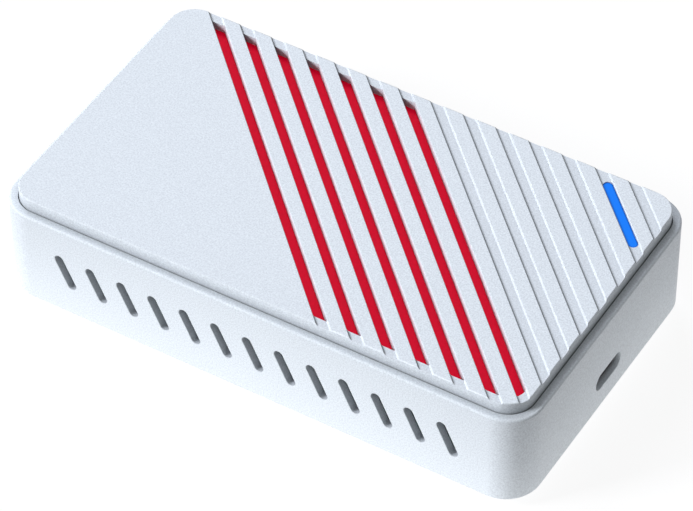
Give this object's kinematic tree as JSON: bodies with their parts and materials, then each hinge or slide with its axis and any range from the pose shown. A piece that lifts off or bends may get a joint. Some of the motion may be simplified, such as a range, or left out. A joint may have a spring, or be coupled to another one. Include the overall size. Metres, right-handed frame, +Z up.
{
  "type": "video capture box",
  "caption": "Low rounded box with a diagonally grooved lift-off cover, a red panel seen through slots, a blue light bar, leaning side vents, and USB-C and HDMI ports on a board inside.",
  "frame": {"origin": "on the desk, under the middle of the box, level with the undersides of the rubber feet", "axes": "+X along the box towards the end with the USB-C port, +Y towards the back long side, +Z up"},
  "size_m": [0.1126, 0.0654, 0.0258],
  "materials": {
    "case_plastic": "fine spark-eroded texture, white",
    "accent_plastic": "satin red",
    "light_guide": "milky light guide, lit blue",
    "circuit_board": "solder mask over laminate",
    "screw_steel": "zinc plated",
    "foot_rubber": "matte",
    "port_shell": "nickel plated",
    "port_insert": "moulded, black",
    "chip_epoxy": "moulding compound",
    "thermal_pad": "soft silicone",
    "sink_aluminium": "extruded",
    "pin_nylon": "natural nylon",
    "inductor_ferrite": "pressed powder",
    "capacitor_can": "drawn can",
    "capacitor_ceramic": "fired",
    "crystal_can": "nickel lid",
    "lamp_lens": "clear lens in a white cup"
  },
  "bodies": {
    "case": {"lower_case": "case_plastic", "main_board": "circuit_board", "board_screws": "screw_steel", "rubber_feet": "foot_rubber", "data_shell": "port_shell", "input_shell": "port_shell", "output_shell": "port_shell", "data_insert": "port_insert", "input_insert": "port_insert", "output_insert": "port_insert", "video_chip": "chip_epoxy", "memory_chips": "chip_epoxy", "receiver_chip": "chip_epoxy", "splitter_chip": "chip_epoxy", "data_chip": "chip_epoxy", "flash_chip": "chip_epoxy", "thermal_pad": "thermal_pad", "heat_sink": "sink_aluminium", "sink_pins": "pin_nylon", "power_inductors": "inductor_ferrite", "bulk_capacitors": "capacitor_can", "ceramic_capacitors": "capacitor_ceramic", "crystals": "crystal_can", "status_lamps": "lamp_lens"},
    "cover": {"top_cover": "case_plastic", "accent_panel": "accent_plastic", "light_bar": "light_guide"}
  },
  "joints": [
    {"name": "cover_lift", "type": "slide", "parent": "case", "child": "cover", "axis": [0, 0, 1], "range_m": [0, 0.03]}
  ]
}
